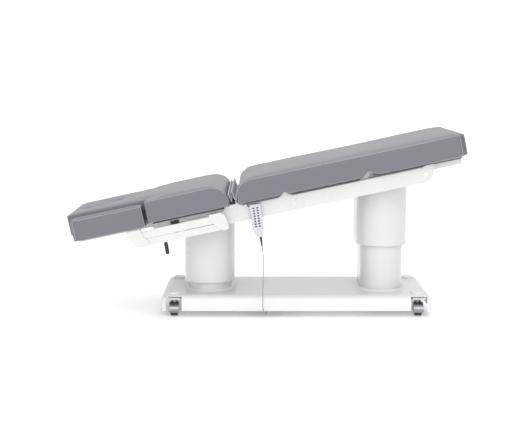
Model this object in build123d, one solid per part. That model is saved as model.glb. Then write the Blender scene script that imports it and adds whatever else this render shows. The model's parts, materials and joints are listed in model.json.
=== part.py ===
from build123d import *
import os
from math import cos, degrees, radians, sin, tan

# Powered two-column examination couch, millimetres, +Z up.
# +X points to the foot end and -Y to the side that carries the hand control.
# The origin is on the floor under the middle of the couch.

# ---- posture ---------------------------------------------------------------
TILT = 12.0                  # the bed frame rests with its foot end raised
COLUMN_SPACING = 854.4       # between the two column axes
TILT_PIN_Z = 486.0           # height of the tilt pin over the head column
BACK_LIFT = 60.0             # degrees
LEG_LIFT = 25.0
HEAD_X = -274.3              # head column; it puts both bed ends equally far from the origin

# ---- base ------------------------------------------------------------------
BASE_LENGTH = 1324.0
BASE_WIDTH = 564.0
BASE_BOTTOM = 31.0
BASE_TOP = 108.0
BASE_SHOULDER = 36.0         # rounding of the cover's upper edges
BASE_CORNER = 42.0
COVER_WALL = 3.0
CHASSIS_Z = 66.0             # underside of the chassis tubes
CHASSIS_TUBE = 30.0
CASTOR_X = 596.0             # castor axes from the middle of the base
CASTOR_Y = 215.0
CASTOR_TRAIL = 20.0
WHEEL_R = 31.0
WHEEL_WIDTH = 34.0
AXLE_R = 4.0
HOOD_R = 35.5
HOOD_WIDTH = 46.0
HOOD_WALL = 2.5
STEM_R = 5.5
CROWN_Z = 74.0
WINDOW_WIDTH = 78.0
WINDOW_TOP = 98.0

# ---- columns: three nested oblong tubes each -------------------------------
SLEEVE_SIZE = (250.0, 400.0)
MID_SIZE = (210.0, 360.0)
INNER_SIZE = (178.0, 328.0)
COLUMN_WALL = 4.0
SLEEVE_BOTTOM = 154.0        # head sleeve; the foot sleeve stands higher
SLEEVE_LENGTH = 298.0
MID_BOTTOM = 111.0
MID_LENGTH = 330.0
INNER_TOP = 430.0
CAP = 6.0
YOKE_Y = 128.0               # middle of each yoke lug
YOKE_T = 14.0
YOKE_R = 20.0
YOKE_PLATE = 5.0

# ---- bed frame, measured along (u) and square to (w) the bed from the tilt pin
RAIL_Y = 322.0               # inner face of the side rails
RAIL_T = 8.0
RAIL_LOW = -43.0
RAIL_HIGH = 29.0
RAIL_HEAD = -112.0
RAIL_FOOT = 1109.0
ACCESSORY_HOLE = (1060.0, -7.0)
ACCESSORY_HOLE_R = 9.5
MEMBER_HIGH = -13.0          # top of the frame's cross tubes
BACK_HINGE = (133.0, 63.0)
HIP_HINGE = (385.0, 45.0)
KNEE_HINGE = (795.0, 59.0)
CALF_LINK_OFFSET = (45.0, -40.0)
HINGE_PIN_R = 6.0
EYE_R = 10.0
PIN_CLEARANCE = 0.05
TILT_PIN_R = 10.0
TILT_END_R = 6.5             # its turned-down ends, which clear the back section's tubes
FOOT_PIN_R = 9.0
SLOT_CLEARANCE = 1.6
SLOT_PLATE_Y = (205.0, 213.0)
TUBE_LOW = 7.0               # section tubes
TUBE_HIGH = 31.0
TUBE_Y = (286.0, 306.0)      # thigh side tubes; the calf tubes lie half a millimetre inside
CHEEK_T = 5.5
BOARD_LOW = 31.0
BOARD_HALF = 300.0
CLEAR = 0.3

# ---- upholstery ------------------------------------------------------------
CUSHION_LOW = 43.0
CUSHION_TOP = 151.0
CUSHION_HALF = 383.0
HEAD_HALF = 276.0
HEAD_END = -671.0
SHOULDER_U = -277.0          # where the head part widens to the full width
BACK_END = 118.0
SEAT_END = 163.0
FOOT_END = 1273.0
END_ROUND = 72.0             # rounding of the two cushion ends at the back hinge
CORNER_ROUND = 24.0
EDGE_BEVEL = 6.0
HIP_NOTCH = (17.5, 18.0)     # half width and depth
KNEE_NOTCH = (32.0, 32.0)
FACE_HOLE_U = -525.0
FACE_HOLE = (196.0, 132.0)
PLUG_GAP = 0.6

# ---- armrests --------------------------------------------------------------
PAD_U = (-643.0, -291.0)
PAD_Y = (286.0, 383.0)
PAD_W = (28.0, 135.0)
ARM_PIVOT = (55.0, -8.0)     # upper link's pivot on the back section
ARM_LENGTH = 388.0
LOWER_LINK_OFFSET = (22.0, -35.0)
LINK_Y = (352.0, 366.0)
UPPER_LINK_R = 16.0
LOWER_LINK_R = 16.5
ARM_PIN_R = 6.0
CLEVIS_T = 4.0
CLEVIS_GAP = 1.0
WEB_W = (17.0, 23.0)         # bridge between the two plates of each clevis
LEVER_U = -216.0
LEVER_Y = 345.5
GRIP_LENGTH = 57.0
GRIP_R = 9.5

# ---- actuators -------------------------------------------------------------
BACK_CRANK = 70.0
LEG_CRANK = 40.0
ACTUATOR_Y = 62.0
HOUSING_R = 14.0
ROD_R = 8.0
ROD_PIN_R = 5.0
LUG_Y = (11.0, 17.0)         # crank plates, either side of the rod eye

# ---- hand control and its cord ---------------------------------------------
PEG = (235.0, 10.0)
PEG_R = 5.0
HANDSET_TOP = 18.0           # above the peg
HANDSET_LENGTH = 160.0
HANDSET_WIDTH = 54.0
HANDSET_Y = (-361.0, -337.0)
HANDSET_LEAN = 8.0           # lower end towards the foot
CORD_R = 2.5
GLAND_TOP = 62.0
# The cord's route: down from the hand control, under the cover's edge, up to its gland.
CORD_ROUTE = [
    (-14.5, -349.0, 360.0), (-7.82, -349.0, 312.47), (-6.8, -348.0, 258.0),
    (-8.2, -346.0, 202.0), (-10.2, -342.0, 146.0), (-11.2, -336.0, 94.0),
    (-10.0, -328.0, 53.0), (-5.0, -310.0, 25.0), (1.0, -288.0, 15.5),
    (6.0, -265.0, 19.5), (8.2, -251.0, 36.5), (8.2, -251.0, 56.0),
]

# ---- values that follow ----------------------------------------------------
FOOT_X = HEAD_X + COLUMN_SPACING
BASE_X = (HEAD_X + FOOT_X) / 2
FOOT_RISE = COLUMN_SPACING * tan(radians(TILT))
FOOT_PIN_U = COLUMN_SPACING / cos(radians(TILT))


# ---- helpers ---------------------------------------------------------------
def box(x0, x1, y0, y1, z0, z1):
    size = Box(x1 - x0, y1 - y0, z1 - z0)
    return Pos((x0 + x1) / 2, (y0 + y1) / 2, (z0 + z1) / 2) * size


def rod_x(y, z, radius, x0, x1):
    return Pos((x0 + x1) / 2, y, z) * Rot(0, 90, 0) * Cylinder(radius, x1 - x0)


def rod_y(x, z, radius, y0, y1):
    return Pos(x, (y0 + y1) / 2, z) * Rot(90, 0, 0) * Cylinder(radius, y1 - y0)


def rod_z(x, y, radius, z0, z1):
    return Pos(x, y, (z0 + z1) / 2) * Cylinder(radius, z1 - z0)


def plate_y(edges, y0, y1):
    """Closed XZ outline made solid between two Y planes."""
    face = make_face(edges)
    return Pos(0, y0, 0) * extrude(face, y1 - y0, dir=(0, 1, 0))


def polygon_y(points, y0, y1):
    return plate_y(Polyline([(x, 0, z) for x, z in points], close=True), y0, y1)


def oblong(size, z0, z1):
    """Solid with straight sides along Y and half-round ends; size is (x, y)."""
    return Pos(0, 0, z0) * extrude(Rot(0, 0, 90) * SlotOverall(size[1], size[0]), z1 - z0)


def oblong_tube(size, z0, z1):
    inside = (size[0] - 2 * COLUMN_WALL, size[1] - 2 * COLUMN_WALL)
    return oblong(size, z0, z1) - oblong(inside, z0 - 1, z1 + 1)


def slot_y(start, end, radius, y0, y1):
    """Cutter of a straight slot between two XZ points."""
    run = (Vector(*end) - Vector(*start)).normalized() * radius
    corners = [(start[0] - run.Y, start[1] + run.X), (end[0] - run.Y, end[1] + run.X),
               (end[0] + run.Y, end[1] - run.X), (start[0] + run.Y, start[1] - run.X)]
    return polygon_y(corners, y0, y1) + rod_y(*start, radius, y0, y1) + rod_y(*end, radius, y0, y1)


def grown(size, amount):
    return (size[0] + 2 * amount, size[1] + 2 * amount)


def both(shape):
    """A near-side shape and its copy on the far side."""
    return [shape, mirror(shape, about=Plane.XZ)]


def moved(point, offset):
    return (point[0] + offset[0], point[1] + offset[1])


def bed(shape):
    """Turn a shape from bed axes into the tilted rest posture."""
    return Pos(HEAD_X, 0, TILT_PIN_Z) * Rot(0, -TILT, 0) * shape


def bed_point(u, w, y=0.0):
    """World place of a point of the bed frame at rest."""
    a = radians(TILT)
    x = HEAD_X + u * cos(a) - w * sin(a)
    return (x, y, TILT_PIN_Z + u * sin(a) + w * cos(a))


def castor_places():
    """Name, stem axis and outward side of the four castors."""
    for end, x in (("head", BASE_X - CASTOR_X), ("foot", BASE_X + CASTOR_X)):
        for side, sign in (("near", -1), ("far", 1)):
            yield f"{end}_{side}", x, sign * CASTOR_Y, sign


# ---- base ------------------------------------------------------------------
def cover_block(inset, z0):
    """Rounded block of the cover, shrunk by the inset on every closed side."""
    half = BASE_LENGTH / 2 - inset
    y = BASE_WIDTH / 2 - inset
    block = box(BASE_X - half, BASE_X + half, -y, y, z0, BASE_TOP - inset)
    block = fillet(block.edges().filter_by(Axis.Z), BASE_CORNER - inset)
    return fillet(block.edges().group_by(Axis.Z)[-1], BASE_SHOULDER - inset)


def base_cover():
    """Moulded shell over the chassis, open below, with a window at each castor."""
    outer = cover_block(0.0, BASE_BOTTOM)
    for _, x, y, _ in castor_places():
        dome = rod_z(x, y, 36.0, BASE_TOP - COVER_WALL, BASE_TOP + 9.0)
        outer = outer + fillet(dome.edges().group_by(Axis.Z)[-1], 8.0)
    shell = outer - cover_block(COVER_WALL, BASE_BOTTOM - 1)
    for x in (HEAD_X, FOOT_X):
        shell = shell - Pos(x, 0, 0) * oblong(grown(INNER_SIZE, 1.0), BASE_TOP - 20, BASE_TOP + 1)
    half = WINDOW_WIDTH / 2
    for _, x, _, side in castor_places():
        y = side * BASE_WIDTH / 2
        shell = shell - box(x - half, x + half, y - 38, y + 38, 0, WINDOW_TOP)
    return shell - inlet_body()


def inlet_body():
    y1 = BASE_WIDTH / 2 + 1.0
    return box(BASE_X - 24, BASE_X + 24, y1 - 34, y1, 42, 72)


def power_inlet():
    """Mains inlet with its socket, in the far wall of the cover."""
    y1 = BASE_WIDTH / 2 + 1.0
    socket = box(BASE_X - 12, BASE_X + 12, y1 - 18, y1 + 1, 49, 65)
    pins = [box(BASE_X + x - 1, BASE_X + x + 1, y1 - 19, y1 - 4, 55, 59) for x in (-6.0, 0.0, 6.0)]
    body = inlet_body() - socket
    for pin in pins:
        body = body + pin
    return body


def base_chassis():
    """Tube frame: long tubes, castor cross tubes and pads under the columns."""
    z0, z1 = CHASSIS_Z, CHASSIS_Z + CHASSIS_TUBE
    head, foot = BASE_X - CASTOR_X, BASE_X + CASTOR_X
    tubes = both(box(head + 30, foot - 30, -140, -100, z0, z1))
    for x in (head, foot):
        cross = box(x - 30, x + 30, -CASTOR_Y - 18, CASTOR_Y + 18, z0 + 12, z1)
        for y in (-CASTOR_Y, CASTOR_Y):
            cross = cross - rod_z(x, y, STEM_R + PIN_CLEARANCE, 0, 200)
        tubes.append(cross)
    for x in (HEAD_X, FOOT_X):
        tubes += both(box(x - 60, x + 60, -190, -140, z0, z1))
        tubes.append(box(x - 60, x + 60, -100, 100, z0, z1))
    return Compound(children=tubes)


def lift_drives():
    """A motor and its lifting screw inside each column."""
    z = CHASSIS_Z + CHASSIS_TUBE
    parts = []
    for x in (HEAD_X, FOOT_X):
        parts.append(rod_z(x, 0, 34, z, z + 90))
        parts.append(rod_z(x, 0, 12, z + 90, INNER_TOP - 12))
    return Compound(children=parts)


def column_collars():
    """Sloped trim ring round the foot of each column."""
    rings = []
    for x in (HEAD_X, FOOT_X):
        ring = oblong(grown(MID_SIZE, 11.0), BASE_TOP, BASE_TOP + 10)
        ring = chamfer(ring.edges().group_by(Axis.Z)[-1], 9.0)
        ring = ring - oblong(grown(MID_SIZE, 0.6), BASE_TOP - 1, BASE_TOP + 11)
        rings.append(Pos(x, 0, 0) * ring)
    return Compound(children=rings)


def cover_screws():
    """Screw heads that hold the cover's end walls."""
    reach = 2.5
    heads = []
    for end in (-1, 1):
        x = BASE_X + end * (BASE_LENGTH + reach) / 2
        for y in (-110.0, 110.0):
            heads.append(rod_x(y, 55.0, 6.0, x - reach / 2, x + reach / 2))
    return Compound(children=heads)


def control_box():
    case = box(-95, 95, -258, -140, GLAND_TOP, 100)
    return fillet(case.edges().filter_by(Axis.Z), 8)


def cord_gland():
    x, y, z = CORD_ROUTE[-1]
    return Pos(x, y, z) * extrude(RegularPolygon(8, 6), GLAND_TOP - z)


# ---- castors ---------------------------------------------------------------
def castor_fork(x, y, side):
    """Hooded fork with its stem and fixed axle; the wheel trails outwards."""
    yc = y + side * CASTOR_TRAIL
    half = HOOD_WIDTH / 2
    inner = half - HOOD_WALL
    hood = rod_x(yc, WHEEL_R, HOOD_R, x - half, x + half)
    hood = hood - rod_x(yc, WHEEL_R, HOOD_R - HOOD_WALL, x - inner, x + inner)
    hood = hood - box(x - 60, x + 60, yc - 60, yc + 60, -20, 20)
    crown = rod_z(x, y, 17.0, WHEEL_R + HOOD_R / 2, CROWN_Z)
    crown = crown - rod_x(yc, WHEEL_R, HOOD_R - HOOD_WALL, x - 40, x + 40)
    axle = rod_x(yc, WHEEL_R, AXLE_R, x - half + 1, x + half - 1)
    return hood + crown + axle + rod_z(x, y, STEM_R, CROWN_Z - 1, 92.0)


def castor_wheel(x, y, side):
    yc = y + side * CASTOR_TRAIL
    half = WHEEL_WIDTH / 2
    wheel = rod_x(yc, WHEEL_R, WHEEL_R, x - half, x + half)
    wheel = fillet(wheel.edges().filter_by(GeomType.CIRCLE), 5.0)
    wheel = wheel - rod_x(yc, WHEEL_R, 22.0, x + half - 3, x + half + 1)
    wheel = wheel - rod_x(yc, WHEEL_R, 22.0, x - half - 1, x - half + 3)
    return wheel - rod_x(yc, WHEEL_R, AXLE_R + PIN_CLEARANCE, x - 40, x + 40)


# ---- columns ---------------------------------------------------------------
def column_inner(x):
    return Pos(x, 0, 0) * oblong_tube(INNER_SIZE, CHASSIS_Z + CHASSIS_TUBE, INNER_TOP)


def column_mid(x):
    return Pos(x, 0, 0) * oblong_tube(MID_SIZE, MID_BOTTOM, MID_BOTTOM + MID_LENGTH)


def column_sleeve(x, rise):
    """Outer tube with its top plate."""
    z0 = SLEEVE_BOTTOM + rise
    z1 = z0 + SLEEVE_LENGTH
    return Pos(x, 0, 0) * (oblong_tube(SLEEVE_SIZE, z0, z1) + oblong(SLEEVE_SIZE, z1 - CAP, z1))


def yoke(x, rise, bore):
    """Plate and two lugs standing on a column's top plate."""
    z0 = SLEEVE_BOTTOM + rise + SLEEVE_LENGTH
    pin_z = TILT_PIN_Z + rise
    body = box(x - 45, x + 45, -YOKE_Y - 20, YOKE_Y + 20, z0, z0 + YOKE_PLATE)
    for side in (-1, 1):
        y0, y1 = side * YOKE_Y - YOKE_T / 2, side * YOKE_Y + YOKE_T / 2
        body = body + box(x - YOKE_R, x + YOKE_R, y0, y1, z0, pin_z) + rod_y(x, pin_z, YOKE_R, y0, y1)
    return body - rod_y(x, pin_z, bore, -200, 200)


def foot_yoke():
    """Foot lugs with the long pin that slides in the frame's slotted plates."""
    reach = SLOT_PLATE_Y[1] + 4
    pin = rod_y(FOOT_X, TILT_PIN_Z + FOOT_RISE, FOOT_PIN_R, -reach, reach)
    return yoke(FOOT_X, FOOT_RISE, FOOT_PIN_R - 1) + pin


# ---- bed frame -------------------------------------------------------------
def side_rails():
    """Side plates with hinge ears and a rounded foot end."""
    hip_u, hip_w = HIP_HINGE
    back_u, back_w = BACK_HINGE
    outline = [
        (RAIL_HEAD, RAIL_LOW + 8), (70, RAIL_LOW), (RAIL_FOOT - 62, RAIL_LOW), (RAIL_FOOT - 30, -34),
        (RAIL_FOOT - 12, -8), (RAIL_FOOT, RAIL_HIGH + 7), (RAIL_FOOT - 44, RAIL_HIGH + 7),
        (RAIL_FOOT - 60, RAIL_HIGH), (hip_u + 34, RAIL_HIGH), (hip_u + EYE_R, hip_w),
        (hip_u - EYE_R, hip_w), (hip_u - 34, RAIL_HIGH), (243, RAIL_HIGH), (205, 17),
        (159, 41), (back_u + 11, back_w), (back_u - 11, back_w), (back_u - 13, 41),
        (100, 40), (84, RAIL_HIGH), (74, 4), (18, 4), (8, 16), (RAIL_HEAD, 16),
    ]
    y0, y1 = -RAIL_Y - RAIL_T, -RAIL_Y
    rail = polygon_y(outline, y0, y1)
    rail = rail + rod_y(back_u, back_w, 11, y0, y1) + rod_y(hip_u, hip_w, EYE_R, y0, y1)
    holes = [(*ACCESSORY_HOLE, ACCESSORY_HOLE_R), (0, 0, TILT_END_R), (back_u, back_w, HINGE_PIN_R),
             (hip_u, hip_w, HINGE_PIN_R), (*moved(HIP_HINGE, CALF_LINK_OFFSET), HINGE_PIN_R)]
    for u, w, radius in holes:
        rail = rail - rod_y(u, w, radius, y0 - 1, y1 + 1)
    return Compound(children=both(rail))


def cross_members():
    """Tubes between the side rails, seat risers and the slotted plates on the foot pin."""
    parts = []
    for u in (215, 480, 700, 1005):
        parts.append(box(u - 20, u + 20, -RAIL_Y, RAIL_Y, RAIL_LOW, MEMBER_HIGH))
    parts += both(box(195, 235, -BOARD_HALF, -150, MEMBER_HIGH, BOARD_LOW))
    y0, y1 = -SLOT_PLATE_Y[1], -SLOT_PLATE_Y[0]
    slot = slot_y((COLUMN_SPACING, 0), (FOOT_PIN_U, 0), FOOT_PIN_R + SLOT_CLEARANCE, y0 - 1, y1 + 1)
    parts += both(box(720, 920, y0, y1, -38, 22) - slot)
    return Compound(children=parts)


def frame_pins():
    """Tilt pin, and the back hinge, hip hinge and calf link pins of both sides."""
    outer = RAIL_Y + RAIL_T + 3
    pins = [rod_y(0, 0, TILT_PIN_R, -150, 150) + rod_y(0, 0, TILT_END_R, -outer, outer)]
    inner_ends = ((BACK_HINGE, 314), (HIP_HINGE, 304), (moved(HIP_HINGE, CALF_LINK_OFFSET), 313))
    for (u, w), inside in inner_ends:
        pins += both(rod_y(u, w, HINGE_PIN_R, -outer, -inside))
    return Compound(children=pins)


def actuator_housings():
    """Back and leg actuator bodies, each a tube with a gear motor beside it."""
    back_w = back_crank_pin()[1]
    leg_w = leg_crank_pin()[1]
    parts = []
    for side, w, u0, u1 in ((1, back_w, 192, 330), (-1, leg_w, 190, 352)):
        y = side * ACTUATOR_Y
        tube = rod_x(y, w, HOUSING_R, u0, u1) - rod_x(y, w, ROD_R + PIN_CLEARANCE, u0 - 1, u1 + 1)
        gear_y0, gear_y1 = sorted((y + side * 10, y + side * 60))
        gear = box(245, 285, gear_y0, gear_y1, MEMBER_HIGH + 4, 24)
        gear = gear - rod_x(y, w, HOUSING_R - 1, 240, 290)
        motor = rod_x(y + side * 40, 8, 16, 285, 350)
        foot = box(200, 230, y - 8, y + 8, MEMBER_HIGH, w - HOUSING_R + 2)
        parts.append(tube + gear + motor + foot)
    return Compound(children=parts)


def board(u0, u1):
    return box(u0, u1, -BOARD_HALF, BOARD_HALF, BOARD_LOW, CUSHION_LOW)


# ---- hand control ----------------------------------------------------------
def handset_hook():
    u, w = PEG
    y = -RAIL_Y - RAIL_T
    plate = box(u - 14, u + 14, y - 2, y, w - 26, w + 16)
    return plate + rod_y(u, w, PEG_R, HANDSET_Y[1] - 8, y)


def at_peg(shape):
    """Place a hand control piece, modelled plumb about its peg, at its lean."""
    x, _, z = bed_point(*PEG)
    return Pos(x, 0, z) * Rot(0, -HANDSET_LEAN, 0) * shape


def handset_shell():
    low, top = HANDSET_TOP - HANDSET_LENGTH, HANDSET_TOP
    half = HANDSET_WIDTH / 2
    outline = [(-half, top), (half, top), (half, low + 46), (half - 9, low), (-half + 15, low),
               (-half, low + 46)]
    body = polygon_y(outline, *HANDSET_Y)
    body = fillet(body.edges().filter_by(Axis.Y), 8)
    body = fillet(body.faces().sort_by(Axis.Y)[0].edges(), 5)
    body = body - rod_y(0, 0, PEG_R + 0.5, HANDSET_Y[1] - 9, HANDSET_Y[1] + 1)
    return at_peg(body)


def handset_keys():
    """Raised keypad with two columns of oval keys on its membrane."""
    y = HANDSET_Y[0]
    keys = box(-18, 18, y - 0.8, y, HANDSET_TOP - 118, HANDSET_TOP - 10)
    for row in range(8):
        z = HANDSET_TOP - 19 - 12.6 * row
        for x in (-9.0, 9.0):
            keys = keys + Pos(x, y - 0.4, z) * Rot(90, 0, 0) * extrude(Ellipse(5.6, 3.6), 2.0)
    return at_peg(keys)


def handset_relief():
    """Tapered sleeve where the cord leaves the hand control."""
    low = HANDSET_TOP - HANDSET_LENGTH
    peg_x, _, peg_z = bed_point(*PEG)
    a = radians(HANDSET_LEAN)
    x0, y0, z0 = CORD_ROUTE[0]
    side = (x0 - peg_x) * cos(a) + (z0 - peg_z) * sin(a)
    end = -(x0 - peg_x) * sin(a) + (z0 - peg_z) * cos(a)
    sleeve = Pos(side, y0, (low + end) / 2) * Cone(CORD_R + 1.2, 6.5, low - end)
    return at_peg(sleeve)


def handset_cord():
    points = [Vector(*p) for p in CORD_ROUTE]
    radii = []
    for a, b, c in zip(points, points[1:], points[2:]):
        before, after = b - a, c - b
        half_turn = radians(before.get_angle(after)) / 2
        radii.append(0.45 * min(before.length, after.length) / tan(half_turn))
    print("cord arc radii", [round(r, 1) for r in radii])
    path = FilletPolyline(points, radius=radii)
    start = Plane(origin=path @ 0, z_dir=path % 0)
    tube = sweep(start * Circle(CORD_R), path=path)
    print("cord length", round(path.length, 1), "volume ratio",
          round(tube.volume / (path.length * 3.14159265 * CORD_R ** 2), 4))
    return tube


# ---- cushions and boards ---------------------------------------------------
def rounded_end(u, out):
    """End face and the large rounding over it; out is the way the face looks."""
    rise = END_ROUND * sin(radians(45))
    centre = (u - out * END_ROUND, CUSHION_TOP - END_ROUND)
    middle = (centre[0] + out * rise, 0, centre[1] + rise)
    face = Line((u, 0, CUSHION_LOW), (u, 0, centre[1]))
    arc = ThreePointArc((u, 0, centre[1]), middle, (centre[0], 0, CUSHION_TOP))
    return [face, arc]


def bevel_long_edges(body):
    """Ease the long top edges, where the cover rolls over."""
    edges = [e for e in body.edges().filter_by(Axis.X)
             if e.center().Z > CUSHION_TOP - 1 and abs(e.center().Y) > CUSHION_HALF - 1]
    return chamfer(edges, EDGE_BEVEL)


def hip_gap(w):
    """Half of the gap between seat and thigh cushions, which closes as the legs lift."""
    return (w - HIP_HINGE[1]) * tan(radians(LEG_LIFT / 2)) + CLEAR


def seat_cushion():
    hip_u = HIP_HINGE[0]
    apex = CUSHION_LOW + HIP_NOTCH[1]
    path = [(SEAT_END + END_ROUND, CUSHION_TOP), (hip_u - hip_gap(CUSHION_TOP), CUSHION_TOP),
            (hip_u - hip_gap(apex), apex), (hip_u - HIP_NOTCH[0], CUSHION_LOW), (SEAT_END, CUSHION_LOW)]
    edges = rounded_end(SEAT_END, -1) + [Polyline([(u, 0, w) for u, w in path])]
    return bevel_long_edges(plate_y(edges, -CUSHION_HALF, CUSHION_HALF))


def thigh_cushion():
    hip_u, knee_u = HIP_HINGE[0], KNEE_HINGE[0]
    apex = CUSHION_LOW + HIP_NOTCH[1]
    path = [(hip_u + hip_gap(CUSHION_TOP), CUSHION_TOP), (knee_u - CLEAR, CUSHION_TOP),
            (knee_u - CLEAR, CUSHION_LOW + KNEE_NOTCH[1]), (knee_u - KNEE_NOTCH[0], CUSHION_LOW),
            (hip_u + HIP_NOTCH[0], CUSHION_LOW), (hip_u + hip_gap(apex), apex)]
    return bevel_long_edges(polygon_y(path, -CUSHION_HALF, CUSHION_HALF))


def calf_cushion():
    knee_u = KNEE_HINGE[0]
    path = [(knee_u + CLEAR, CUSHION_TOP), (FOOT_END, CUSHION_TOP), (FOOT_END, CUSHION_LOW),
            (knee_u + KNEE_NOTCH[0], CUSHION_LOW), (knee_u + CLEAR, CUSHION_LOW + KNEE_NOTCH[1])]
    body = polygon_y(path, -CUSHION_HALF, CUSHION_HALF)
    corners = [e for e in body.edges().filter_by(Axis.Z) if e.center().X > FOOT_END - 1]
    return bevel_long_edges(fillet(corners, CORNER_ROUND))


def face_oval(grow, low, top):
    oval = Ellipse(FACE_HOLE[0] / 2 + grow, FACE_HOLE[1] / 2 + grow)
    return Pos(FACE_HOLE_U, 0, low) * extrude(oval, top - low)


def back_cushion():
    """Narrow head part with the breathing hole, and the wide part with a rounded end."""
    head = box(HEAD_END, SHOULDER_U - CLEAR, -HEAD_HALF, HEAD_HALF, CUSHION_LOW, CUSHION_TOP)
    ends = [e for e in head.edges().filter_by(Axis.Z) if e.center().X < HEAD_END + 1]
    head = fillet(ends, CORNER_ROUND) - face_oval(0.0, CUSHION_LOW - 1, CUSHION_TOP + 1)
    path = [(BACK_END - END_ROUND, CUSHION_TOP), (SHOULDER_U, CUSHION_TOP),
            (SHOULDER_U, CUSHION_LOW), (BACK_END, CUSHION_LOW)]
    edges = rounded_end(BACK_END, 1) + [Polyline([(u, 0, w) for u, w in path])]
    return Compound(children=[head, plate_y(edges, -CUSHION_HALF, CUSHION_HALF)])


def face_plug():
    """Oval filler of the breathing hole; it lifts straight out."""
    return face_oval(-PLUG_GAP, CUSHION_LOW + 0.5, CUSHION_TOP)


def back_board():
    inset = CUSHION_HALF - BOARD_HALF
    slab = box(SHOULDER_U + 20, BACK_END - 32, -BOARD_HALF, BOARD_HALF, BOARD_LOW, CUSHION_LOW)
    slab = slab + box(HEAD_END + 26, SHOULDER_U + 20, -HEAD_HALF + 26, HEAD_HALF - 26, BOARD_LOW,
                      CUSHION_LOW)
    slab = fillet(slab.edges().filter_by(Axis.Z), inset / 8)
    return slab - face_oval(-8.0, 0, CUSHION_LOW + 1)


# ---- back section ----------------------------------------------------------
def back_crank_pin():
    """Rest place of the back actuator's pin, half the lift ahead of straight down."""
    a = radians(BACK_LIFT / 2)
    return (BACK_HINGE[0] + BACK_CRANK * sin(a), BACK_HINGE[1] - BACK_CRANK * cos(a))


def leg_crank_pin():
    """Rest place of the leg actuator's pin, half the lift behind straight down."""
    a = radians(LEG_LIFT / 2)
    return (HIP_HINGE[0] - LEG_CRANK * sin(a), HIP_HINGE[1] - LEG_CRANK * cos(a))


def back_frame():
    """Side tubes, cross tubes, hinge cheeks and the slotted crank of the back section."""
    lo, hi = TUBE_LOW, TUBE_HIGH
    u, w = BACK_HINGE
    side = box(SHOULDER_U + 15, 96, -316, -296, lo, hi)
    cheek = polygon_y([(60, lo), (96, lo), (u + 13, w - 4), (u + 9, w + 5), (u - 9, w + 5),
                       (u - 13, w - 8), (u - 13, 42), (96, hi), (60, hi)], -316 - CHEEK_T, -316)
    cheek = cheek + rod_y(u, w, EYE_R, -316 - CHEEK_T, -316)
    cheek = cheek - rod_y(u, w, HINGE_PIN_R + PIN_CLEARANCE, -340, -300)
    parts = both(side + cheek)
    for cross_u in (-252.0, 60.0):
        parts.append(box(cross_u - 10, cross_u + 10, -296, 296, lo, hi))
    parts.append(box(-177, -137, -296, 296, lo, hi - 4))
    parts += both(box(-620, -262, -215, -195, lo, hi))
    parts.append(box(-640, -620, -215, 215, lo, hi))
    pin_u, pin_w = back_crank_pin()
    plate = [(50, lo), (70, lo), (pin_u, pin_w - 15), (pin_u + 14, pin_w - 12), (pin_u + 12, pin_w + 10),
             (pin_u - 12, pin_w + 20), (70, hi - 1)]
    a = radians(BACK_LIFT / 2)
    near = BACK_CRANK * cos(a)
    slot = slot_y((u + near * sin(a), w - near * cos(a)), (pin_u, pin_w), ROD_PIN_R + 1.5, 0, 200)
    for y0, y1 in ((LUG_Y[0], LUG_Y[1]), (-LUG_Y[1], -LUG_Y[0])):
        lug = polygon_y(plate, ACTUATOR_Y + y0, ACTUATOR_Y + y1) - slot
        parts.append(lug - box(50, 70, 0, 200, lo, hi))
    return Compound(children=parts)


def tube_plugs():
    """Black end plugs of the cross tube that shows under the back section."""
    return Compound(children=both(box(-177, -137, -326, -316, TUBE_LOW, TUBE_HIGH - 4)))


def clevis(outline, inner_outline, web_u, web_y):
    """Two plates either side of the links, bridged by a web, on the near side."""
    out = LINK_Y[1] + CLEVIS_GAP
    inn = LINK_Y[0] - CLEVIS_GAP
    body = polygon_y(outline, -out - CLEVIS_T, -out) + polygon_y(inner_outline, -inn, -inn + CLEVIS_T)
    return body + box(web_u[0], web_u[1], -out - CLEVIS_T, -web_y, WEB_W[0], WEB_W[1])


def arm_pins(centres):
    """Round-headed pins through a clevis, near side."""
    out = LINK_Y[1] + CLEVIS_GAP + CLEVIS_T
    inn = LINK_Y[0] - CLEVIS_GAP - CLEVIS_T
    pins = []
    for u, w in centres:
        pins.append(rod_y(u, w, ARM_PIN_R, -out, -inn) + rod_y(u, w, 8.5, -out - 2, -out))
    return pins


def arm_pivot_plates():
    """Clevis of both armrest linkages on the back section, with its pins."""
    centres = [ARM_PIVOT, moved(ARM_PIVOT, LOWER_LINK_OFFSET)]
    outer = [(12, 23), (70, 23), (86, 8), (94, -27), (92, -60), (66, -64), (30, -30), (12, 0)]
    inner = [(30, 20), (80, 20), (94, -27), (92, -60), (66, -64), (34, -30)]
    body = clevis(outer, inner, (30, 59.5), 316.0)
    for u, w in centres:
        body = body - rod_y(u, w, ARM_PIN_R, -400, -300)
    solids = [body] + arm_pins(centres)
    return Compound(children=[s for solid in solids for s in both(solid)])


# ---- armrests (near side; the far side is mirrored) ---------------------------
def arm_link(centre, radius, top, extra):
    """Link bar on one of the two parallel pivots, deeper between its ends."""
    u1, w = centre
    u0 = u1 - ARM_LENGTH
    y0, y1 = -LINK_Y[1], -LINK_Y[0]
    bar = box(u0, u1, y0, y1, w - radius, w + radius)
    bar = bar + rod_y(u0, w, radius, y0, y1) + rod_y(u1, w, radius, y0, y1)
    if top > radius:
        bar = bar + polygon_y([(u0 + 64, w), (u0 + 72, w + top), (u1 - 34, w + top), (u1 - 26, w)], y0, y1)
    for piece in extra:
        bar = bar + piece
    for u in (u0, u1):
        bar = bar - rod_y(u, w, ARM_PIN_R + PIN_CLEARANCE, -400, -300)
    return bar


def arm_upper_link():
    return arm_link(ARM_PIVOT, UPPER_LINK_R, 21.0, [])


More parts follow.
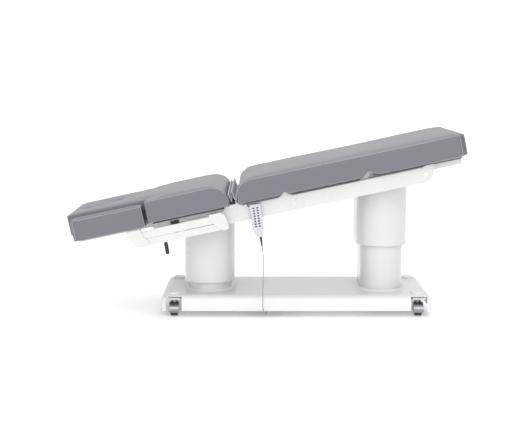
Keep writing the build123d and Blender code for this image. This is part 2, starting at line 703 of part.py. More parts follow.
def arm_lower_link():
    """Lower link with the pin that carries the release lever."""
    w = ARM_PIVOT[1] + LOWER_LINK_OFFSET[1]
    pin = rod_y(LEVER_U, w, 4.0, -LINK_Y[0], -LEVER_Y + 5)
    return arm_link(moved(ARM_PIVOT, LOWER_LINK_OFFSET), LOWER_LINK_R, 0.0, [pin])


def arm_bracket():
    """Clevis under the arm pad with its pins and carrying plate."""
    head = (ARM_PIVOT[0] - ARM_LENGTH, ARM_PIVOT[1])
    centres = [head, moved(head, LOWER_LINK_OFFSET)]
    u, w = head
    outer = [(u - 57, 23), (u + 12, 23), (u + 20, -20), (u + 40, -30), (u + 40, -56), (u + 22, -66),
             (u - 14, -60), (u - 40, -34), (u - 54, 0)]
    body = clevis(outer, outer, (u - 57, u + 12), 300.0)
    body = body + box(-610, u + 12, -366, -300, WEB_W[1], PAD_W[0])
    for cu, cw in centres:
        body = body - rod_y(cu, cw, ARM_PIN_R, -400, -300)
    return Compound(children=[body] + arm_pins(centres))


def arm_pad():
    pad = box(PAD_U[0], PAD_U[1], -PAD_Y[1], -PAD_Y[0], PAD_W[0], PAD_W[1])
    ends = [e for e in pad.edges().filter_by(Axis.Z) if e.center().X < PAD_U[0] + 1]
    pad = fillet(ends, CORNER_ROUND)
    return chamfer(pad.edges().group_by(Axis.Z)[-1], EDGE_BEVEL)


def arm_lever():
    """Release lever behind the lower link, with its hanging grip."""
    w = ARM_PIVOT[1] + LOWER_LINK_OFFSET[1]
    lean = 3.0
    hub = rod_y(0, 0, 9, -LEVER_Y - 2.5, -LEVER_Y + 2.5)
    shank = box(-5, 5, -LEVER_Y - 2.5, -LEVER_Y + 2.5, -30, 0)
    grip = rod_z(0, -LEVER_Y, GRIP_R, -22 - GRIP_LENGTH, -22)
    grip = fillet(grip.edges().filter_by(GeomType.CIRCLE), 5)
    body = hub + shank + grip - rod_y(0, 0, 4.0 + PIN_CLEARANCE, -400, -300)
    return Pos(LEVER_U, 0, w) * Rot(0, lean, 0) * body


# ---- leg sections ----------------------------------------------------------
def thigh_frame():
    """Thigh tubes with hip and knee cheeks, the knee pins and the actuator crank."""
    lo, hi = TUBE_LOW, TUBE_HIGH
    y_out, y_in = -TUBE_Y[1], -TUBE_Y[0]
    cheek_y = (y_out - CHEEK_T - 0.5, y_out)
    hip_u, hip_w = HIP_HINGE
    knee_u, knee_w = KNEE_HINGE
    side = box(400, 778, y_out, y_in, lo, hi)
    hip = polygon_y([(hip_u - 7, hip_w - 7), (400, lo), (440, lo), (440, hi), (hip_u + 11, hip_w - 3),
                     (hip_u + 7, hip_w + 7)], *cheek_y)
    hip = hip + rod_y(hip_u, hip_w, EYE_R, *cheek_y)
    knee = polygon_y([(740, lo), (776, lo), (knee_u + 8, knee_w - 7), (knee_u - 7, knee_w + 7),
                      (770, 40), (740, hi)], *cheek_y)
    knee = knee + rod_y(knee_u, knee_w, EYE_R, *cheek_y)
    rail = side + hip + knee
    rail = rail - rod_y(hip_u, hip_w, HINGE_PIN_R + PIN_CLEARANCE, -340, -280)
    rail = rail - rod_y(knee_u, knee_w, HINGE_PIN_R, -340, -280)
    parts = both(rail)
    parts += both(rod_y(knee_u, knee_w, HINGE_PIN_R, cheek_y[0], y_in + 6.5))
    for u in (430, 690):
        parts.append(box(u - 10, u + 10, y_in, -y_in, lo, hi))
    pin_u, pin_w = leg_crank_pin()
    plate = [(pin_u - 9, pin_w - 11), (pin_u + 10, pin_w - 11), (420, lo), (420, hi - 3),
             (pin_u + 4, pin_w + 14), (pin_u - 9, pin_w + 9)]
    for y0, y1 in ((LUG_Y[0], LUG_Y[1]), (-LUG_Y[1], -LUG_Y[0])):
        lug = polygon_y(plate, -ACTUATOR_Y + y0, -ACTUATOR_Y + y1)
        parts.append(lug - rod_y(pin_u, pin_w, ROD_PIN_R + 1.3, -200, 200))
    return Compound(children=parts)


def calf_frame():
    """Calf tubes with knee cheeks and the pins of the calf links."""
    lo, hi = TUBE_LOW, TUBE_HIGH
    y_out, y_in = -TUBE_Y[1] + 0.5, -TUBE_Y[0] + 0.5
    cheek_y = (y_in, y_in + CHEEK_T)
    knee_u, knee_w = KNEE_HINGE
    side = box(812, 1240, y_out, y_in, lo, hi)
    knee = polygon_y([(850, lo), (814, lo), (knee_u - 8, knee_w - 7), (knee_u + 7, knee_w + 7),
                      (820, 40), (850, hi)], *cheek_y)
    knee = knee + rod_y(knee_u, knee_w, EYE_R, *cheek_y)
    knee = knee - rod_y(knee_u, knee_w, HINGE_PIN_R + PIN_CLEARANCE, -340, -270)
    link_u, link_w = moved(KNEE_HINGE, CALF_LINK_OFFSET)
    pin = rod_y(link_u, link_w, HINGE_PIN_R, -RAIL_Y + 1, y_out)
    parts = both(side + knee + pin)
    for u in (980, 1230):
        parts.append(box(u - 10, u + 10, y_in, -y_in, lo, hi))
    return Compound(children=parts)


def calf_links():
    """Links that keep the calf section parallel to the bed."""
    u0, w0 = moved(HIP_HINGE, CALF_LINK_OFFSET)
    u1, w1 = moved(KNEE_HINGE, CALF_LINK_OFFSET)
    rise, run = w1 - w0, u1 - u0
    length = (run ** 2 + rise ** 2) ** 0.5
    y0, y1 = -320.0, -314.0
    bar = box(0, length, y0, y1, -EYE_R, EYE_R)
    for u in (0, length):
        bar = bar + rod_y(u, 0, EYE_R, y0, y1)
    for u in (0, length):
        bar = bar - rod_y(u, 0, HINGE_PIN_R + PIN_CLEARANCE, y0 - 1, y1 + 1)
    slope = degrees(rise / run)
    return Compound(children=both(Pos(u0, 0, w0) * Rot(0, -slope, 0) * bar))


# ---- actuator rods ---------------------------------------------------------
def actuator_rod(pin, y, start, end):
    """Rod with its eye and cross pin; start and end are the rod's ends along the bed."""
    u, w = pin
    eye = rod_y(u, w, 9, y - 8, y + 8)
    return eye + rod_y(u, w, ROD_PIN_R, y - LUG_Y[1] - 1, y + LUG_Y[1] + 1) + rod_x(y, w, ROD_R, start, end)


def back_actuator_rod():
    u, w = back_crank_pin()
    return actuator_rod((u, w), ACTUATOR_Y, u, 318)


def leg_actuator_rod():
    u, w = leg_crank_pin()
    return actuator_rod((u, w), -ACTUATOR_Y, 205, u)


# ---- assembly --------------------------------------------------------------
def arms():
    """Both armrests, node name to solid in bed axes."""
    pieces = {"arm_upper_link": arm_upper_link(), "arm_lower_link": arm_lower_link(),
              "arm_bracket": arm_bracket(), "arm_pad": arm_pad(), "arm_lever": arm_lever()}
    found = {}
    for name, shape in pieces.items():
        near, far = both(shape)
        found[name + "_near"] = near
        found[name + "_far"] = far
    return found


def floor_nodes():
    """Everything modelled in world axes."""
    nodes = {
        "base_cover": base_cover(),
        "base_chassis": base_chassis(),
        "cover_screws": cover_screws(),
        "power_inlet": power_inlet(),
        "control_box": control_box(),
        "cord_gland": cord_gland(),
        "lift_drives": lift_drives(),
        "column_collars": column_collars(),
        "head_column_inner": column_inner(HEAD_X),
        "foot_column_inner": column_inner(FOOT_X),
        "head_column_mid": column_mid(HEAD_X),
        "foot_column_mid": column_mid(FOOT_X),
        "head_column_sleeve": column_sleeve(HEAD_X, 0.0),
        "foot_column_sleeve": column_sleeve(FOOT_X, FOOT_RISE),
        "head_yoke": yoke(HEAD_X, 0.0, TILT_PIN_R + PIN_CLEARANCE),
        "foot_yoke": foot_yoke(),
        "handset_shell": handset_shell(),
        "handset_keys": handset_keys(),
        "handset_relief": handset_relief(),
        "handset_cord": handset_cord(),
    }
    for name, x, y, side in castor_places():
        nodes["castor_fork_" + name] = castor_fork(x, y, side)
        nodes["castor_wheel_" + name] = castor_wheel(x, y, side)
    return nodes


def bed_nodes():
    """Everything modelled along the bed, then tilted into the rest posture."""
    nodes = {
        "side_rails": side_rails(),
        "cross_members": cross_members(),
        "frame_pins": frame_pins(),
        "actuator_housings": actuator_housings(),
        "handset_hook": handset_hook(),
        "seat_board": board(SEAT_END + 16, HIP_HINGE[0] - 16),
        "seat_cushion": seat_cushion(),
        "back_frame": back_frame(),
        "tube_plugs": tube_plugs(),
        "back_board": back_board(),
        "back_cushion": back_cushion(),
        "face_plug": face_plug(),
        "arm_pivot_plates": arm_pivot_plates(),
        "back_actuator_rod": back_actuator_rod(),
        "leg_actuator_rod": leg_actuator_rod(),
        "thigh_frame": thigh_frame(),
        "thigh_board": board(HIP_HINGE[0] + 16, KNEE_HINGE[0] - 57),
        "thigh_cushion": thigh_cushion(),
        "calf_frame": calf_frame(),
        "calf_board": board(KNEE_HINGE[0] + 57, FOOT_END - 25),
        "calf_cushion": calf_cushion(),
        "calf_links": calf_links(),
    }
    nodes.update(arms())
    return {name: bed(shape) for name, shape in nodes.items()}


if __name__ == "__main__":
    os.makedirs("parts", exist_ok=True)
    for node, solid in {**floor_nodes(), **bed_nodes()}.items():
        export_step(solid, f"parts/{node}.step")
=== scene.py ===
import json
from math import cos, pi, radians, sin

import bmesh
import bpy
import numpy as np
from mathutils import Matrix, Vector


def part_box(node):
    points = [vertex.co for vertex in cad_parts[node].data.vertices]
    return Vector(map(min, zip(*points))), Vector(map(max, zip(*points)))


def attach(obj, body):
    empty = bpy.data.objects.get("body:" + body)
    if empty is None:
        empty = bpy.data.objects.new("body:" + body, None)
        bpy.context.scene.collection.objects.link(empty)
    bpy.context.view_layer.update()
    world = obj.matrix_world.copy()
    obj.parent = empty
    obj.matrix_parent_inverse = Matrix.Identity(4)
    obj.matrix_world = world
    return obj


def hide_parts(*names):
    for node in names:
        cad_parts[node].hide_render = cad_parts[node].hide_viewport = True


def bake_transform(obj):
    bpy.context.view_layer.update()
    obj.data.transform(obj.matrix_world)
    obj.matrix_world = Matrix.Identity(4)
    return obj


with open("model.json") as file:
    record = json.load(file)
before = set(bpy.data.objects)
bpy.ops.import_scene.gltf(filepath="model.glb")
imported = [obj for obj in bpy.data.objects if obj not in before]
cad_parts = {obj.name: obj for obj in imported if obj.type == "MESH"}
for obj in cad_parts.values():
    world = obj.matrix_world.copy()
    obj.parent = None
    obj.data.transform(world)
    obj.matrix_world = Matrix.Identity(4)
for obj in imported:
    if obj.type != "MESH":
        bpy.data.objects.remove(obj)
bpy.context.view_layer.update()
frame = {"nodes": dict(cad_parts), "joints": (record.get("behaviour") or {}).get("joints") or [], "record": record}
nodes = frame["nodes"]
joints = {j["name"]: j for j in frame["joints"]}
scene = bpy.context.scene

# Bed axes: u along the couch and w square to it, both from the tilt pin.
TILT = radians(joints["frame_tilt"]["range_deg"][1])
BED = Matrix.Translation(joints["frame_tilt"]["pos_m"]) @ Matrix.Rotation(-TILT, 4, "Y")
TO_BED = BED.inverted()

CLOTH_FRAMES = 20
SHRINK = 0.002          # how much smaller a cover starts before it is inflated
SEAM_INSET = 0.0045     # seams run this far in from a cushion's edges
HEAD_SEAM = 0.009       # seam below the top of the head part
PLUG_SEAM = 0.006       # seam below the top of the plug
WELT_RADIUS = 0.0014
SWELL = 1.6             # longest move of a cover while it fills, in crowns
DOWNWARD, SIDEWAYS = -0.4, 0.6   # a face points down or to a side past these
END_SWELL, SIDE_SWELL = 0.1, 0.35


# ---- materials -------------------------------------------------------------
def add(tree, kind, **values):
    node = tree.nodes.new("ShaderNode" + kind)
    for name, value in values.items():
        if name in node.inputs:
            node.inputs[name].default_value = value
        else:
            setattr(node, name, value)
    return node


def shade(colour, factor):
    """RGBA of a colour made lighter or darker."""
    return (*[min(1.0, c * factor) for c in colour], 1.0)


def material(name, colour, roughness, spread=0.04, cloud=7.0, grain=900.0, bump=0.1, depth=0.0003,
             cells=False, gloss_drift=0.06, **uniform):
    """Base colour that drifts a little, uneven gloss and a fine grain, all in object space."""
    mat = bpy.data.materials.new(name)
    mat.use_nodes = True
    tree = mat.node_tree
    link = tree.links.new
    shader = tree.nodes["Principled BSDF"]
    for socket, value in uniform.items():
        shader.inputs[socket.replace("_", " ")].default_value = value
    place = add(tree, "TexCoord").outputs["Object"]
    drift = add(tree, "TexNoise", Scale=cloud, Detail=4.0, Roughness=0.6)
    link(place, drift.inputs["Vector"])
    mix = add(tree, "Mix", data_type="RGBA")
    mix.inputs[6].default_value = shade(colour, 1 - spread)
    mix.inputs[7].default_value = shade(colour, 1 + spread)
    link(drift.outputs["Fac"], mix.inputs[0])
    link(mix.outputs[2], shader.inputs["Base Color"])
    gloss = add(tree, "MapRange")
    gloss.inputs["To Min"].default_value = max(0.02, roughness - gloss_drift)
    gloss.inputs["To Max"].default_value = min(1.0, roughness + gloss_drift)
    link(drift.outputs["Fac"], gloss.inputs["Value"])
    link(gloss.outputs["Result"], shader.inputs["Roughness"])
    if cells:
        fine = add(tree, "TexVoronoi", Scale=grain, feature="DISTANCE_TO_EDGE")
        height = fine.outputs["Distance"]
    else:
        fine = add(tree, "TexNoise", Scale=grain, Detail=3.0)
        height = fine.outputs["Fac"]
    link(place, fine.inputs["Vector"])
    relief = add(tree, "Bump", Strength=bump, Distance=depth)
    link(height, relief.inputs["Height"])
    link(relief.outputs["Normal"], shader.inputs["Normal"])
    return mat


def keypad_material():
    """Pale membrane with dark keys: what stands proud of the membrane is a key."""
    mat = material("keypad", (0.60, 0.59, 0.66), 0.35, grain=2500.0, bump=0.05)
    tree = mat.node_tree
    shader = tree.nodes["Principled BSDF"]
    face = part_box("handset_keys")[0].y + 0.0012
    position = add(tree, "SeparateXYZ")
    tree.links.new(add(tree, "TexCoord").outputs["Object"], position.inputs[0])
    proud = add(tree, "Math", operation="LESS_THAN")
    proud.inputs[1].default_value = face
    tree.links.new(position.outputs["Y"], proud.inputs[0])
    mix = add(tree, "Mix", data_type="RGBA")
    pale = shader.inputs["Base Color"].links[0].from_socket
    tree.links.new(proud.outputs[0], mix.inputs[0])
    tree.links.new(pale, mix.inputs[6])
    mix.inputs[7].default_value = (0.03, 0.028, 0.08, 1.0)
    tree.links.new(mix.outputs[2], shader.inputs["Base Color"])
    return mat


SLOTS = {
    "enamel": material("enamel", (0.665, 0.662, 0.655), 0.28, spread=0.02, cloud=1.5, grain=350.0,
                       bump=0.02, depth=0.0001, gloss_drift=0.03, Coat_Weight=0.35,
                       Coat_Roughness=0.12),
    "cover": material("cover", (0.80, 0.795, 0.79), 0.34, spread=0.02, cloud=1.5, grain=1600.0,
                      bump=0.06, depth=0.0001, gloss_drift=0.03),
    "upholstery": material("upholstery", (0.150, 0.147, 0.172), 0.42, spread=0.06, cloud=4.0,
                           grain=620.0, bump=0.18, depth=0.0003, cells=True,
                           Coat_Weight=0.08, Coat_Roughness=0.30),
    "board": material("board", (0.34, 0.34, 0.36), 0.6, grain=500.0, bump=0.2),
    "steel": material("steel", (0.55, 0.55, 0.56), 0.34, grain=1200.0, bump=0.1, Metallic=1.0),
    "black_steel": material("black_steel", (0.03, 0.03, 0.033), 0.42, grain=420.0, bump=0.15),
    "black_plastic": material("black_plastic", (0.018, 0.018, 0.02), 0.45, grain=1500.0, bump=0.3),
    "handset_case": material("handset_case", (0.56, 0.555, 0.62), 0.38, spread=0.02, grain=1800.0),
    "keypad": keypad_material(),
    "castor_hood": material("castor_hood", (0.30, 0.30, 0.33), 0.18, grain=900.0, bump=0.04,
                            Metallic=1.0),
    "cord": material("cord", (0.34, 0.34, 0.37), 0.45, grain=1500.0, bump=0.15),
    "tread": material("tread", (0.022, 0.022, 0.025), 0.6, spread=0.15, grain=700.0, bump=0.4),
}
# Welt colour paler than the upholstery: a painted highlight along the cushions' top edges, laid on a real sewn
# welt.
WELT_PAINTED_HIGHLIGHT = material("highlight_welt", (0.36, 0.357, 0.385), 0.38, grain=1200.0, bump=0.2)
GUSSET = material("gusset", (0.50, 0.50, 0.54), 0.55, spread=0.06, grain=1400.0, bump=0.3,
                  cells=True)

for part in frame["record"]["subparts"]:
    mesh = nodes[part["node"]].data
    mesh.materials.clear()
    mesh.materials.append(SLOTS[part["material_slot"]])


# ---- pieces ----------------------------------------------------------------
def new_piece(name, mesh, mat):
    piece = bpy.data.objects.new(name, mesh)
    scene.collection.objects.link(piece)
    mesh.materials.clear()
    mesh.materials.append(mat)
    return piece


def bake(piece):
    """Replaces a piece's mesh by what its modifiers make of it."""
    graph = bpy.context.evaluated_depsgraph_get()
    piece.data = bpy.data.meshes.new_from_object(piece.evaluated_get(graph))
    piece.modifiers.clear()


def read(mesh, what="co"):
    values = np.zeros(len(mesh.vertices) * 3)
    mesh.vertices.foreach_get(what, values)
    return values.reshape(-1, 3)


def write(mesh, co):
    mesh.vertices.foreach_set("co", co.ravel())
    mesh.update()


def smooth_shaded(piece):
    piece.data.polygons.foreach_set("use_smooth", [True] * len(piece.data.polygons))


def line_mesh(points, kind, cyclic=False, radius=0.0, resolution=10, sides=5):
    """Mesh of a line along its control points, or with a radius of a capped tube round it."""
    curve = bpy.data.curves.new("line", "CURVE")
    curve.dimensions = "3D"
    spline = curve.splines.new(kind)
    spline.points.add(len(points) - 1)
    for place, point in zip(spline.points, points):
        place.co = (*point, 1.0)
    if kind == "NURBS":
        spline.order_u = 3
        spline.use_endpoint_u = True
        spline.resolution_u = resolution
    spline.use_cyclic_u = cyclic
    curve.bevel_depth = radius
    curve.bevel_resolution = sides
    curve.use_fill_caps = True
    holder = bpy.data.objects.new("line", curve)
    scene.collection.objects.link(holder)
    graph = bpy.context.evaluated_depsgraph_get()
    mesh = bpy.data.meshes.new_from_object(holder.evaluated_get(graph))
    bpy.data.objects.remove(holder)
    return mesh


def prism(name, outline, y0, y1, mat, bevel):
    """Bed-axes outline made solid between two Y planes, with its edges eased."""
    build = bmesh.new()
    face = build.faces.new([build.verts.new((u, y0, w)) for u, w in outline])
    grown = bmesh.ops.extrude_face_region(build, geom=[face])["geom"]
    moved = [v for v in grown if isinstance(v, bmesh.types.BMVert)]
    bmesh.ops.translate(build, verts=moved, vec=(0, y1 - y0, 0))
    bmesh.ops.recalc_face_normals(build, faces=build.faces)
    bmesh.ops.bevel(build, geom=build.edges[:], offset=bevel, segments=3, affect="EDGES",
                    clamp_overlap=True)
    mesh = bpy.data.meshes.new(name)
    build.to_mesh(mesh)
    build.free()
    mesh.transform(BED)
    return new_piece(name, mesh, mat)


# ---- cushions --------------------------------------------------------------
def bed_box(node):
    """Lowest and highest corner of a CAD node in bed axes."""
    co = np.array([TO_BED @ v.co for v in nodes[node].data.vertices])
    return Vector(co.min(0)), Vector(co.max(0))


def bed_joint(name):
    """A joint's place in bed axes."""
    return TO_BED @ Vector(joints[name]["pos_m"])


HIP = bed_joint("leg_lift")
KNEE = bed_joint("knee_hinge")
SEAT_BOX = bed_box("seat_cushion")
CALF_BOX = bed_box("calf_cushion")
END_ROUND = 0.072
CORNER_ROUND = 0.024
HIP_NOTCH = (0.0175, 0.018)      # half width and depth of the notch below each fold
KNEE_NOTCH = (0.032, 0.030)
SHOULDER = -0.277                # where the back cushion widens, and its half width before that
HEAD_HALF = 0.276
MAT_SPLIT = (HIP.x + KNEE.x) / 2


def mat_mesh():
    """Seat, thigh and calf under one continuous cover, with a notch below each hinge."""
    (u0, _, low), (_, half, top) = SEAT_BOX
    u1 = CALF_BOX[1].x
    outline = [(u0, low)]
    for step in range(13):
        turn = pi / 2 * step / 12
        outline.append((u0 + END_ROUND * (1 - cos(turn)), top - END_ROUND * (1 - sin(turn))))
    outline += [(u1, top), (u1, low)]
    for axis, (wide, deep) in ((KNEE, KNEE_NOTCH), (HIP, HIP_NOTCH)):
        outline += [(axis.x + wide, low), (axis.x, low + deep), (axis.x - wide, low)]
    build = bmesh.new()
    face = build.faces.new([build.verts.new((u, -half, w)) for u, w in outline])
    far = bmesh.ops.extrude_face_region(build, geom=[face])["geom"]
    far = [v for v in far if isinstance(v, bmesh.types.BMVert)]
    bmesh.ops.translate(build, verts=far, vec=(0, 2 * half, 0))
    upright = [e for e in build.edges if min(v.co.x for v in e.verts) > u1 - 1e-4
               and abs(e.verts[0].co.z - e.verts[1].co.z) > 0.05]
    bmesh.ops.bevel(build, geom=upright, offset=CORNER_ROUND, segments=6, affect="EDGES")
    bmesh.ops.recalc_face_normals(build, faces=build.faces)
    mesh = bpy.data.meshes.new("mat")
    build.to_mesh(mesh)
    build.free()
    return mesh


def cad_copy(node):
    """A CAD cushion's mesh in bed axes, with its split corners merged."""
    build = bmesh.new()
    build.from_mesh(nodes[node].data)
    bmesh.ops.remove_doubles(build, verts=build.verts, dist=1e-5)
    mesh = bpy.data.meshes.new(node)
    build.to_mesh(mesh)
    build.free()
    mesh.transform(TO_BED)
    return mesh


def back_mesh():
    """Head part and wide part of the back cushion as one, with the gap between them closed."""
    build = bmesh.new()
    build.from_mesh(cad_copy("back_cushion"))
    low, high = bed_box("back_cushion")
    bridge = bmesh.ops.create_cube(build, size=1.0)["verts"]
    size = (0.03, 2 * HEAD_HALF, high.z - low.z)
    place = Matrix.Translation((SHOULDER, 0, (low.z + high.z) / 2)) @ Matrix.Diagonal((*size, 1))
    bmesh.ops.transform(build, matrix=place, verts=bridge)
    mesh = bpy.data.meshes.new("back")
    build.to_mesh(mesh)
    build.free()
    return mesh


def cover(name, mesh, voxel):
    """Even-meshed, slightly smaller start of a cushion's cover, in bed axes."""
    piece = new_piece("cover_" + name, mesh, SLOTS["upholstery"])
    remesh = piece.modifiers.new("Remesh", "REMESH")
    remesh.mode = "VOXEL"
    remesh.voxel_size = voxel
    soften = piece.modifiers.new("Smooth", "SMOOTH")
    soften.factor = 0.5
    soften.iterations = 3
    bake(piece)
    write(piece.data, read(piece.data) - SHRINK * read(piece.data, "normal"))
    return piece


def inflate(pieces):
    """Cloth pressure fills every cover at once, with no gravity."""
    for piece in pieces:
        cloth = piece.modifiers.new("Cloth", "CLOTH")
        cloth.settings.quality = 5
        cloth.settings.use_pressure = True
        cloth.settings.uniform_pressure_force = 4
        cloth.settings.tension_stiffness = 15
        cloth.settings.effector_weights.gravity = 0
    for step in range(1, CLOTH_FRAMES + 1):
        scene.frame_set(step)
    for piece in pieces:
        bake(piece)
    scene.frame_set(1)


def capped(move, most):
    """Shortens moves smoothly so that none is longer than most."""
    length = np.linalg.norm(move, axis=1, keepdims=True)
    return move * most / (most + length)


def settle(piece, before, normals, crown):
    """Keeps the swelling to a crowned top: flat below, and clear of what stands at its ends."""
    move = capped(read(piece.data) - before, crown * SWELL)
    move[normals[:, 2] < DOWNWARD] = 0.0
    move[np.abs(normals[:, 0]) > SIDEWAYS] *= END_SWELL
    move[np.abs(normals[:, 1]) > SIDEWAYS] *= SIDE_SWELL
    write(piece.data, before + move)
    fine = piece.modifiers.new("Subdivision", "SUBSURF")
    fine.levels = 1
    bake(piece)
    smooth_shaded(piece)


def half_of(piece, name, u, keep_low):
    """The part of a cover on one side of a plane across the bed, closed where it is cut."""
    build = bmesh.new()
    build.from_mesh(piece.data)
    geom = build.verts[:] + build.edges[:] + build.faces[:]
    cut = bmesh.ops.bisect_plane(build, geom=geom, plane_co=(u, 0, 0), plane_no=(1, 0, 0),
                                 clear_outer=keep_low, clear_inner=not keep_low)["geom_cut"]
    rim = [e for e in cut if isinstance(e, bmesh.types.BMEdge)]
    for edge in rim:
        edge.smooth = False
    bmesh.ops.triangle_fill(build, edges=rim, use_beauty=True)
    bmesh.ops.recalc_face_normals(build, faces=build.faces)
    mesh = bpy.data.meshes.new(name)
    build.to_mesh(mesh)
    build.free()
    half = new_piece(name, mesh, SLOTS["upholstery"])
    smooth_shaded(half)
    return half


def section_loops(mesh, point, normal):
    """Ordered closed loops in which a plane cuts a mesh."""
    cut = bmesh.new()
    cut.from_mesh(mesh)
    geom = cut.verts[:] + cut.edges[:] + cut.faces[:]
    found = bmesh.ops.bisect_plane(cut, geom=geom, plane_co=point, plane_no=normal)["geom_cut"]
    edges = [e for e in found if isinstance(e, bmesh.types.BMEdge)]
    near = {}
    for edge in edges:
        a, b = edge.verts
        near.setdefault(a, []).append(b)
        near.setdefault(b, []).append(a)
    loops = []
    left = dict.fromkeys(near)
    while left:
        walk = [next(iter(left))]
        del left[walk[0]]
        while True:
            onward = [v for v in near[walk[-1]] if v in left]
            if not onward:
                break
            walk.append(onward[0])
            del left[onward[0]]
        loops.append([v.co.copy() for v in walk])
    cut.free()
    return [loop for loop in loops if len(loop) > 12]


def highlight_welt(name, points, cyclic):
    """Sewn welt as a thin tube along points in bed axes, coloured pale as a painted highlight on the cushion's
    edge.
    """
    tube = line_mesh([BED @ p for p in points], "POLY", cyclic, WELT_RADIUS, sides=1)
    piece = new_piece(name, tube, WELT_PAINTED_HIGHLIGHT)
    smooth_shaded(piece)
    return piece


def sew(name, mesh, point, normal, keep=None):
    """Welts where a plane cuts a cover, on the part of it that keep accepts."""
    made = []
    for index, loop in enumerate(section_loops(mesh, point, normal)):
        closed = keep is None or all(keep(p) for p in loop)
        points = loop if closed else [p for p in loop if keep(p)]
        if len(points) < 8:
            continue
        if not closed:
            gaps = [(points[i] - points[i - 1]).length for i in range(len(points))]
            start = gaps.index(max(gaps))
            points = points[start:] + points[:start]
        made.append(highlight_welt(f"welt_{name}_{index}", points, closed))
    return made


# Cover name: start mesh, voxel size, crown, CAD body and the CAD nodes it stands for.
COVERS = {
    "mat": (mat_mesh(), 0.010, 0.007, None, ()),
    "back": (back_mesh(), 0.010, 0.007, "back", ("back_cushion",)),
    "plug": (cad_copy("face_plug"), 0.006, 0.004, "plug", ("face_plug",)),
    "arm_pad_near": (cad_copy("arm_pad_near"), 0.006, 0.005, "arm_pad_near", ("arm_pad_near",)),
    "arm_pad_far": (cad_copy("arm_pad_far"), 0.006, 0.005, "arm_pad_far", ("arm_pad_far",)),
}
covers = {name: cover(name, mesh, voxel) for name, (mesh, voxel, *_) in COVERS.items()}
starts = {name: (read(p.data), read(p.data, "normal")) for name, p in covers.items()}
inflate(list(covers.values()))

for name, piece in covers.items():
    _, _, crown, body, stands_for = COVERS[name]
    settle(piece, *starts[name], crown)
    low, high = Vector(read(piece.data).min(0)), Vector(read(piece.data).max(0))
    sides = {"near": low.y + SEAM_INSET, "far": high.y - SEAM_INSET}
    if name == "mat":
        folds = {"seat": (True, "frame", "thigh", HIP, ("seat_cushion",)),
                 "legs": (False, "thigh", "calf", KNEE, ("thigh_cushion", "calf_cushion"))}
        for half_name, (low_side, a, b, axis, replaced) in folds.items():
            half = half_of(piece, "cover_" + half_name, MAT_SPLIT, low_side)
            half.data.transform(BED)
            parts = [half]
            for side, y in sides.items():
                parts += sew(f"{half_name}_{side}", piece.data, (0, y, 0), (0, 1, 0),
                             lambda p: (p.x < MAT_SPLIT) == low_side)
            for part in parts:
                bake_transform(part)
            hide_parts(*replaced)
        bpy.data.objects.remove(piece)
        continue
    welts = []
    if name == "plug":
        welts += sew("plug", piece.data, (0, 0, high.z - PLUG_SEAM), (0, 0, 1))
    else:
        for side, y in sides.items():
            welts += sew(f"{name}_{side}", piece.data, (0, y, 0), (0, 1, 0))
    if name == "back":
        welts += sew("head", piece.data, (0, 0, high.z - HEAD_SEAM), (0, 0, 1),
                     lambda p: p.x < SHOULDER)
    piece.data.transform(BED)
    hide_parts(*stands_for)
    for part in [piece, *welts]:
        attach(part, body)


# ---- folded gusset between the back and seat cushions ----------------------
def bellows():
    """Strip sewn to both cushion ends that folds upwards twice in the gap."""
    profile = [(0.116, 0.066), (0.119, 0.098), (0.122, 0.104), (0.126, 0.098), (0.129, 0.068),
               (0.132, 0.064), (0.135, 0.070), (0.1365, 0.104), (0.140, 0.113), (0.1435, 0.104),
               (0.146, 0.076), (0.150, 0.068), (0.158, 0.066)]
    line = line_mesh([(u, 0.0, w) for u, w in profile], "NURBS", resolution=4)
    points = [v.co.copy() for v in line.vertices]
    half, columns = 0.374, 40
    build = bmesh.new()
    rows = []
    for column in range(columns + 1):
        y = -half + 2 * half * column / columns
        sag = 0.0012 * sin(9 * pi * column / columns)
        rows.append([build.verts.new((p.x + sag * (p.z - 0.066) / 0.06, y, p.z)) for p in points])
    for a, b in zip(rows, rows[1:]):
        for i in range(len(points) - 1):
            build.faces.new((a[i], a[i + 1], b[i + 1], b[i]))
    mesh = bpy.data.meshes.new("gap_gusset")
    build.to_mesh(mesh)
    build.free()
    mesh.transform(BED)
    piece = new_piece("gap_gusset", mesh, GUSSET)
    thick = piece.modifiers.new("Solidify", "SOLIDIFY")
    thick.thickness = 0.0018
    thick.offset = 0.0
    bake(piece)
    smooth_shaded(piece)
    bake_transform(piece)
    return piece


bellows()

# Black caps over the hinge ears, seen in the gap below the gusset.
hinge = TO_BED @ Vector(joints["back_lift"]["pos_m"])
rail_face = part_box("side_rails")[1].y
for side, sign in (("near", -1), ("far", 1)):
    outline = [(hinge.x - 0.0125, hinge.z - 0.017), (hinge.x + 0.014, hinge.z - 0.019),
               (hinge.x + 0.0125, hinge.z + 0.011), (hinge.x - 0.0115, hinge.z + 0.013)]
    ends = sorted((sign * (rail_face + 0.0002), sign * (rail_face + 0.0045)))
    cap = prism("hinge_cap_" + side, outline, *ends, SLOTS["black_plastic"], 0.0015)
    smooth_shaded(cap)
    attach(cap, "frame")


# A lip across the top of each castor's window in the base cover, grey where the cover is white: painted shade of
# the window's recessed top.
def slab(name, low, high, mat, bevel=0.0008):
    """Upright block between two corners, with its edges eased."""
    build = bmesh.new()
    bmesh.ops.create_cube(build, size=1.0)
    low, high = Vector(low), Vector(high)
    size, middle = high - low, (high + low) / 2
    place = Matrix.Translation(middle) @ Matrix.Diagonal((*size, 1))
    bmesh.ops.transform(build, matrix=place, verts=build.verts)
    bmesh.ops.bevel(build, geom=build.edges[:], offset=bevel, segments=2, affect="EDGES")
    mesh = bpy.data.meshes.new(name)
    build.to_mesh(mesh)
    build.free()
    return new_piece(name, mesh, mat)


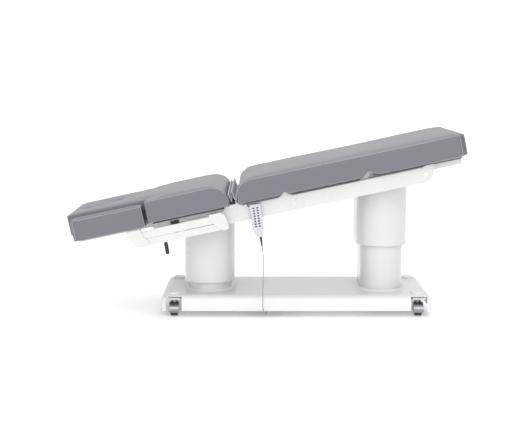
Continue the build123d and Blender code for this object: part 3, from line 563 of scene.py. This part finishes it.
LIP_HALF = 0.0325
LIP_HEIGHT = (0.0855, 0.0965)
LIP_DEPTH = (0.0028, 0.0006)    # its back and its face, in from the cover's side
cover_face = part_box("base_cover")[1].y
for end in ("head", "foot"):
    for side, sign in (("near", -1), ("far", 1)):
        stem = Vector(joints[f"swivel_{end}_{side}"]["pos_m"])
        ys = sorted(sign * (cover_face - depth) for depth in LIP_DEPTH)
        # The lip takes the grey handset material as painted shade of the recess.
        lip = slab(f"window_lip_{end}_{side}", (stem.x - LIP_HALF, ys[0], LIP_HEIGHT[0]),
                   (stem.x + LIP_HALF, ys[1], LIP_HEIGHT[1]), SLOTS["handset_case"])
        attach(lip, "base")


# ---- the hand control's cord -----------------------------------------------
CORD_RADIUS = 0.0025
CORD_ROUTE = [
    (-0.0145, -0.349, 0.360), (-0.00782, -0.349, 0.31247), (-0.0068, -0.348, 0.258),
    (-0.0082, -0.346, 0.202), (-0.0102, -0.342, 0.146), (-0.0112, -0.336, 0.094),
    (-0.0100, -0.328, 0.053), (-0.0050, -0.310, 0.025), (0.0010, -0.288, 0.0155),
    (0.0060, -0.265, 0.0195), (0.0082, -0.251, 0.0365), (0.0082, -0.251, 0.056),
]


def cord():
    """Cord as a tube round its NURBS line."""
    line = line_mesh(CORD_ROUTE, "NURBS")
    tube = line_mesh(CORD_ROUTE, "NURBS", radius=CORD_RADIUS)
    tube.name = "hand_control_cord"
    piece = new_piece("hand_control_cord", tube, SLOTS["cord"])
    smooth_shaded(piece)
    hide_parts("handset_cord")
    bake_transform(piece)
    return piece


cord()

# ---- stage, light and camera -----------------------------------------------
floor_mesh = bpy.data.meshes.new("floor")
SPAN = 40.0
floor_mesh.from_pydata([(-SPAN, -SPAN, 0), (SPAN, -SPAN, 0), (SPAN, SPAN, 0), (-SPAN, SPAN, 0)], [],
                       [(0, 1, 2, 3)])
floor = new_piece("floor", floor_mesh,
                  material("floor", (0.97, 0.97, 0.97), 0.8, spread=0.002,
                           Emission_Color=(1.0, 1.0, 1.0, 1.0), Emission_Strength=0.28))

# White studio whose side walls are darker, so that round white parts keep their shape.
world = bpy.data.worlds.new("studio")
world.use_nodes = True
room = world.node_tree
heading = add(room, "SeparateXYZ")
room.links.new(add(room, "TexCoord").outputs["Generated"], heading.inputs[0])
sideways = add(room, "Math", operation="ABSOLUTE")
room.links.new(heading.outputs["X"], sideways.inputs[0])
walls = add(room, "MapRange", interpolation_type="SMOOTHSTEP")
for socket, value in (("From Min", 0.40), ("From Max", 0.95), ("To Min", 1.12), ("To Max", 0.35)):
    walls.inputs[socket].default_value = value
room.links.new(sideways.outputs[0], walls.inputs["Value"])
room.links.new(walls.outputs["Result"], room.nodes["Background"].inputs["Strength"])
room.nodes["Background"].inputs["Color"].default_value = (1.0, 1.0, 1.0, 1.0)
scene.world = world


def softbox(name, place, aim, size, power):
    light = bpy.data.lights.new(name, "AREA")
    light.shape = "RECTANGLE"
    light.size, light.size_y = size
    light.energy = power
    lamp = bpy.data.objects.new(name, light)
    lamp.location = place
    lamp.rotation_euler = (Vector(aim) - Vector(place)).to_track_quat("-Z", "Y").to_euler()
    scene.collection.objects.link(lamp)


softbox("overhead", (0.0, 0.3, 3.6), (0, 0, 0.5), (4.2, 0.9), 30)
softbox("front", (0.0, -4.6, 2.4), (0, 0, 0.4), (5.0, 2.6), 60)
scene.view_settings.view_transform = "Standard"

eye = bpy.data.cameras.new("camera")
eye.lens = 82.2
camera = bpy.data.objects.new("camera", eye)
camera.location = (-0.0433, -5.859, 1.188)
camera.rotation_euler = (radians(83.05), 0, 0)
scene.collection.objects.link(camera)
scene.camera = camera
